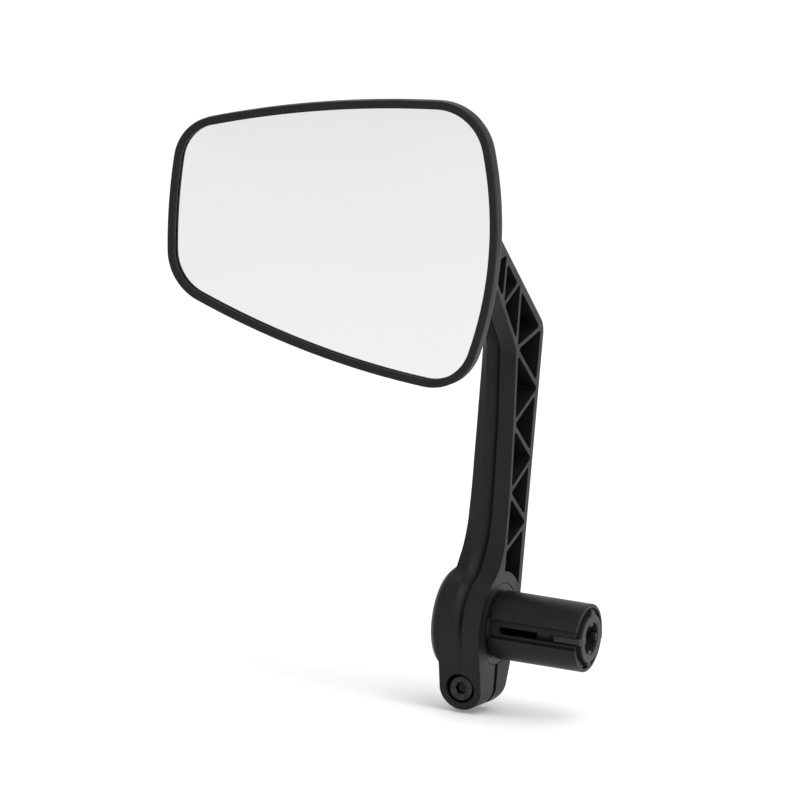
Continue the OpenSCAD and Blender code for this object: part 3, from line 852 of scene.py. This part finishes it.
# %% Hub with its slotted collet
COLLET_END = hub_high.x
COLLET_R = 8.35
SEAT_X = box_mm("expander_washer")[1].x
hub_profile = filleted([(OUTER_X, 4.6, 0.3), (OUTER_X, RING_R - 1.3, 0.35), (OUTER_X + 1.3, RING_R, 0.35),
                        (RING_X - 0.1, RING_R, 0.2), (RING_X - 0.1, 11.4, 0), (FACE_X, 11.4, 0.35),
                        (FACE_X, COLLET_R, 0.3), (COLLET_END, COLLET_R, 0.3), (COLLET_END, 6.64, 0.15),
                        (18.5, 5.52, 0), (0.5, 5.52, 0.2), (0.5, 2.75, 0.1),
                        (SEAT_X, 2.75, 0), (SEAT_X, 4.6, 0.1)],
                       step_deg=20)
hub = lathe("x", [tuple(p) for p in hub_profile], steps=144, closed=True)
slot = arc((3.6, 0), 1.1, 90, 270, 14) + [Vector((40, -1.1)), Vector((40, 1.1))]
slots = []
for quarter in range(4):
    cutter = prism("z", slot, 3, 14)
    bmesh.ops.rotate(cutter, verts=cutter.verts, matrix=Matrix.Rotation(math.radians(90 * quarter), 3, "X"))
    slots.append(cutter)
hub = combine(hub, slots)
hub = bevelled(hub, 0.12, angle_deg=50)
hub = piece(hub, "hub_and_collet", "plug", NYLON_HUB, ["hub"])


# %% [markdown]
# ## Sleeve
# The sleeve is an open ring of even wall. Its rounded section is spun most of the way round, which
# leaves the long gap, and the two ends of the section become the walls of the gap.

# %% C-shaped sleeve
GAP_BELOW, GAP_ABOVE = 14, 18
SLEEVE_WALL = 1.1
section = filleted([(0, SLEEVE_R, 0.35), (SLEEVE_END, SLEEVE_R, 0.35),
                    (SLEEVE_END, SLEEVE_R - SLEEVE_WALL, 0.2), (0, SLEEVE_R - SLEEVE_WALL, 0.2)],
                   step_deg=22)
sweep = math.radians(360 - GAP_BELOW - GAP_ABOVE)
sleeve = lathe("x", [tuple(p) for p in section], steps=150, sweep=sweep, closed=True)
bmesh.ops.rotate(sleeve, verts=sleeve.verts, matrix=Matrix.Rotation(math.radians(90 + GAP_BELOW), 3, "X"))
sleeve = bevelled(sleeve, 0.15, angle_deg=60)
sleeve = piece(sleeve, "grip_sleeve", "plug", NYLON_HUB, ["adapter_sleeve"])


# %% [markdown]
# ## Expander cone
# The cone is pulled in by the long screw and spreads the collet. Four keys run in the collet's slots
# so that it can't turn, and four short teeth stand in the hole at its end.

# %% Cone with keys and teeth
cone_profile = filleted([(12.5, 2.75, 0), (12.5, 5.3, 0.3), (16.8, 5.3, 0.2), (16.8, 4.9, 0),
                         (18.5, 4.9, 0), (18.5, 5.4, 0.1), (CONE_END, 6.75, 0.35),
                         (CONE_END, 4.5, 0.3), (CONE_END - 1.5, 4.5, 0),
                         (CONE_END - 1.5, 4.6, 0), (17.7, 4.6, 0), (17.7, 2.75, 0)], step_deg=25)
cone = lathe("x", [tuple(p) for p in cone_profile], steps=128, closed=True)
KEY_HALF = 1.0
key_end = filleted([(-KEY_HALF, 4.7, 0), (KEY_HALF, 4.7, 0), (KEY_HALF, 7.7, 0.4), (-KEY_HALF, 7.7, 0.4)])
tooth_end = filleted([(-KEY_HALF, 3.4, 0.25), (KEY_HALF, 3.4, 0.25),
                      (KEY_HALF, 5.0, 0), (-KEY_HALF, 5.0, 0)])
extras = []
for quarter in range(4):
    turn = Matrix.Rotation(math.radians(90 * quarter), 3, "X")
    key = prism("x", key_end, 18.7, CONE_END - 0.15)
    tooth = prism("x", tooth_end, CONE_END - 1.7, CONE_END - 0.25)
    for extra in (key, tooth):
        bmesh.ops.rotate(extra, verts=extra.verts, matrix=turn)
        extras.append(extra)
cone = combine(cone, extras, "UNION")
cone = combine(cone, [prism("x", hexagon(8.1), 13.5, 18)])
cone = bevelled(cone, 0.1, angle_deg=50)
cone = piece(cone, "expander_cone_keyed", "expander_cone", NYLON_INNER, ["expander_cone"])


# %% [markdown]
# ## Screws
# A cap screw is turned from bar: a head with a rounded rim, a plain shank, and a thread that is
# rolled on. The thread is drawn as a row of shallow grooves, which is what it looks like once it is
# in place, and the socket for the key is a hexagon with a cone at its bottom.

# %% Cap screws
def cap_screw(axis, centre, head_start, head_r, head_h, shank_r, end, key_af, key_depth, pitch, sign=1):
    """A cap screw; sign is +1 if the shank points along the axis."""
    seat, far = head_start + sign * head_h, end
    profile = [(head_start, 0), (head_start, head_r - 0.5)]
    profile += [(head_start + sign * (0.5 - 0.5 * cosd(a)), head_r - 0.5 + 0.5 * sind(a))
                for a in (30, 60, 90)]
    profile += [(seat - sign * 0.15, head_r), (seat, head_r - 0.15), (seat, shank_r)]
    at = seat + sign * 1.5
    while (far - at) * sign > pitch * 1.5:
        profile += [(at, shank_r), (at + sign * pitch / 2, shank_r - 0.6 * pitch)]
        at += sign * pitch
    profile += [(at, shank_r), (far - sign * 0.4, shank_r), (far, shank_r - 0.5), (far, 0)]
    body = lathe(axis, profile, centre, steps=64)
    flat = centre[0::2] if axis == "y" else centre[1:]
    key = prism(axis, hexagon(key_af, flat), head_start - sign, head_start + sign * key_depth)
    inner = key_af / 2 - 0.1
    point = lathe(axis, [(head_start, 0), (head_start, key_af / 2 + 0.25),
                         (head_start + sign * 0.35, inner), (head_start + sign * key_depth, inner),
                         (head_start + sign * (key_depth + 0.7), 0)], centre, steps=48)
    return bevelled(combine(body, [key, point]), 0.06, angle_deg=50)


screw = cap_screw("y", screw_axis, screw_low.y, 3.5, 4.0, 2.0, screw_high.y, 3.0, 2.2, 0.7)
screw = piece(screw, "clamp_cap_screw", "clamp_screw", BLACK_STEEL, ["clamp_screw"])
long_low, long_high = box_mm("expander_screw")
screw = cap_screw("x", (0, 0, 0), long_low.x, 4.25, 5.0, 2.5, long_high.x, 4.0, 2.6, 0.8)
screw = piece(screw, "expander_cap_screw", "expander_screw", BLACK_STEEL, ["expander_screw"])


# %% [markdown]
# ## Nuts and washers
# A hexagon nut is sawn from hexagonal bar and its corners are turned off, so it is the part that a
# hexagonal prism and a chamfered disc have in common.

# %% Nuts and washers
def nut(axis, centre, across_flats, start, end, bore, name, body, material, node):
    flat = centre[0::2] if axis == "y" else centre[1:]
    blank = prism(axis, hexagon(across_flats, flat), start, end)
    wide = across_flats / math.sqrt(3)
    lens = lathe(axis, [(start, 0), (start, wide - 0.45), (start + 0.3, wide + 0.05),
                        (end - 0.3, wide + 0.05), (end, wide - 0.45), (end, 0)], centre, steps=72)
    hole = lathe(axis, [(start - 1, 0), (start - 1, bore + 1.4), (start + 0.4, bore), (end - 0.4, bore),
                        (end + 1, bore + 1.4), (end + 1, 0)], centre, steps=48)
    made = combine(combine(blank, [lens], "INTERSECT"), [hole])
    return piece(bevelled(made, 0.05, angle_deg=50), name, body, material, [node])


def washer(axis, centre, inner, outer, start, end, name, body, material, node):
    section = filleted([(start, inner, 0.08), (start, outer, 0.12), (end, outer, 0.12), (end, inner, 0.08)],
                       step_deg=30)
    made = lathe(axis, [tuple(p) for p in section], centre, steps=72, closed=True)
    return piece(made, name, body, material, [node])


nut_low, nut_high = box_mm("expander_nut")
nut("x", (0, 0, 0), 8.0, nut_low.x, nut_high.x, 2.55, "expander_hex_nut", "expander_cone",
    ZINC_STEEL, "expander_nut")
nut_low, nut_high = box_mm("clamp_nut")
nut("y", screw_axis, 7.0, nut_low.y, nut_high.y, 2.05, "clamp_hex_nut", "arm",
    BLACK_STEEL, "clamp_nut")
ring_low, ring_high = box_mm("expander_washer")
washer("x", (0, 0, 0), 2.6, 4.25, ring_low.x, ring_high.x, "expander_flat_washer", "plug",
       ZINC_STEEL, "expander_washer")
ring_low, ring_high = box_mm("clamp_washer")
washer("y", screw_axis, 2.1, 3.7, ring_low.y, ring_high.y, "clamp_flat_washer", "clamp_washer", BLACK_STEEL,
       "clamp_washer")


# %% [markdown]
# ## Inside the ball joint
# Two acetal liners hold the ball, a cap presses them together, and a wave washer behind a steel plate
# keeps that pressure steady as the plastic wears. Each is a turned or pressed part, so each is a
# profile spun round the ball's own axis.

# %% Liners, cap and wave washer
LINER_IN, LINER_OUT = 4.57, 5.32
ball_axis = (BALL.x, 0, BALL.z)


def liner(start_deg, end_deg, node, name, body):
    """A zone of a sphere shell, from one angle off the axis to another."""
    angles = [start_deg + (end_deg - start_deg) * k / 16 for k in range(17)]
    def side(radius):
        return [(BALL.y + radius * cosd(a), radius * sind(a)) for a in angles]
    profile = side(LINER_OUT) + side(LINER_IN)[::-1]
    made = lathe("y", profile, ball_axis, steps=96, closed=True)
    return piece(made, name, body, ACETAL, [node])


liner(56.5, 80.0, "ball_liner_rear", "rear_ball_liner", "liner_rear")
liner(100.0, 168.0, "ball_liner_front", "front_ball_liner", "liner_front")

cap_low, cap_high = box_mm("socket_cap")
bowl = [(BALL.y + SOCKET_R * sind(-a), SOCKET_R * cosd(a)) for a in range(4, 91, 6)]
cap_profile = [(cap_low.y, 0), (cap_low.y, 7.1), (cap_low.y + 0.3, 7.4),
               (cap_high.y - 0.2, 7.4), (cap_high.y, 7.2)]
cap_profile += bowl + [(BALL.y - SOCKET_R, 0)]
cap = lathe("y", cap_profile, ball_axis, steps=96)
piece(cap, "socket_pressure_cap", "head", NYLON_INNER, ["socket_cap"])

wave_low, wave_high = box_mm("wave_washer")
WAVE_T, WAVES = 0.22, 3
wave = lathe("y", [(0, 4.8), (0, 5.8), (0, 6.8), (WAVE_T, 6.8), (WAVE_T, 5.8), (WAVE_T, 4.8)],
             ball_axis, steps=144, closed=True)
height = wave_high.y - wave_low.y - WAVE_T
for v in wave.verts:
    around = math.atan2(v.co.z - BALL.z, v.co.x - BALL.x)
    v.co.y += wave_low.y + height * (0.5 + 0.5 * math.cos(WAVES * around))
piece(wave, "spring_wave_washer", "head", ZINC_STEEL, ["wave_washer"])


# %% [markdown]
# ## Socket plate and tapping screws
# The plate is blanked from sheet: a disc with three ears. The screws cut their own thread in the
# pillars of the shell, and have a cross in the head for the driver.

# %% Plate and screws
DISC_R = BOSS_R - 0.2
disc = lathe("y", [(plate_low.y, 0), (plate_low.y, DISC_R), (plate_high.y, DISC_R), (plate_high.y, 0)],
             ball_axis, steps=96)
EAR_R = 2.4
ears = []
for p in PILLARS:
    out = Vector((p.x - BALL.x, p.y - BALL.z)).normalized()
    flank = Vector((-out.y, out.x)) * EAR_R
    start = math.degrees(math.atan2(-flank.y, -flank.x))
    hub_point = Vector((BALL.x, BALL.z))
    outline = arc(p, EAR_R, start, start + 180, 20) + [hub_point + flank, hub_point - flank]
    ears.append(prism("y", outline, plate_low.y, plate_high.y))
plate = combine(disc, ears, "UNION")
holes = [lathe("y", [(-60, 0), (-60, 4), (0, 4), (0, 0)], ball_axis, steps=64)]
holes += [lathe("y", [(-60, 0), (-60, 1.15), (0, 1.15), (0, 0)], (p.x, 0, p.y), steps=32) for p in PILLARS]
plate = bevelled(combine(plate, holes), 0.08, angle_deg=50)
piece(plate, "socket_back_plate", "head", ZINC_STEEL, ["socket_plate"])

tap_low, tap_high = box_mm("socket_screws")
HEAD_H = 0.9
screws = bmesh.new()
for p in PILLARS:
    seat = tap_low.y + HEAD_H
    profile = [(tap_low.y, 0), (tap_low.y, 1.2), (tap_low.y + 0.15, 1.6), (tap_low.y + 0.45, 1.9),
               (seat, 1.9), (seat, 1.0)]
    for k in range(5):
        profile += [(seat + 1.1 + 0.55 * k, 1.0), (seat + 1.37 + 0.55 * k, 0.78)]
    profile += [(tap_high.y - 0.1, 0.7), (tap_high.y, 0.4), (tap_high.y, 0)]
    blank = lathe("y", profile, (p.x, 0, p.y), steps=40)
    blades = []
    for w, h in ((1.1, 0.25), (0.25, 1.1)):
        box = [(p.x - w, p.y - h), (p.x + w, p.y - h), (p.x + w, p.y + h), (p.x - w, p.y + h)]
        blades.append(prism("y", box, tap_low.y - 1, tap_low.y + 0.55))
    made = combine(blank, blades)
    mesh = bpy.data.meshes.new("work")
    made.to_mesh(mesh)
    made.free()
    screws.from_mesh(mesh)
piece(screws, "socket_tapping_screws", "head", ZINC_STEEL, ["socket_screws"])


# %% [markdown]
# ## Stage, light and camera
# The object is shown on a plain pale floor in even light from all sides, with one broad soft lamp
# above and in front. A long lens far away keeps the silhouettes nearly parallel.

# %% Floor, world, lamps and camera
floor_bm = bmesh.new()
bmesh.ops.create_grid(floor_bm, x_segments=1, y_segments=1, size=20.0)
bmesh.ops.translate(floor_bm, verts=floor_bm.verts, vec=(0, 0, CAD_BOX[0][2] - 0.001))
floor = temp_object(floor_bm, "pale floor")
paper = new_material("matt_white_paper", "#FAFAFA", 0.9)[0]
floor.data.materials.append(paper)

world = bpy.data.worlds.new("even light")
bpy.context.scene.world = world
world.use_nodes = True
world.node_tree.nodes["Background"].inputs["Color"].default_value = linear("#FFFFFF")
world.node_tree.nodes["Background"].inputs["Strength"].default_value = 1.0


def soft_lamp(name, place, aim, size, power):
    lamp = bpy.data.lights.new(name, "AREA")
    lamp.shape, lamp.size, lamp.energy = "DISK", size, power
    obj = bpy.data.objects.new(name, lamp)
    obj.location = place
    obj.rotation_euler = (Vector(aim) - Vector(place)).to_track_quat("-Z", "Y").to_euler()
    bpy.context.scene.collection.objects.link(obj)
    return obj


middle = (-0.03, -0.01, 0.07)
soft_lamp("broad lamp above", (0.5, -0.5, 1.3), middle, 0.9, 5)
soft_lamp("side lamp", (1.3, -0.2, 0.4), middle, 0.8, 8)

RIGHT = Vector((0.9135, 0.3996, 0.0755))
UP = Vector((-0.1458, 0.1483, 0.9782))
BACK = Vector((0.3797, -0.9046, 0.1938))
AIM_RIGHT, AIM_UP = -27.85, 61.08
AIM = (RIGHT * AIM_RIGHT + UP * AIM_UP) * MM
DISTANCE = 10.0
HALF_FRAME = 109.6 * MM
camera_data = bpy.data.cameras.new("camera")
camera_data.angle = 2 * math.atan(HALF_FRAME / DISTANCE)
camera_data.clip_end = 60
camera = bpy.data.objects.new("camera", camera_data)
view = Matrix((RIGHT, UP, BACK)).transposed().to_4x4()
view.translation = AIM + BACK * DISTANCE
camera.matrix_world = view
bpy.context.scene.collection.objects.link(camera)
bpy.context.scene.camera = camera
bpy.context.scene.view_settings.view_transform = "Standard"


# %% Size of the frame, and the end
print("CAD box:", [[round(v / MM, 2) for v in c] for c in CAD_BOX])
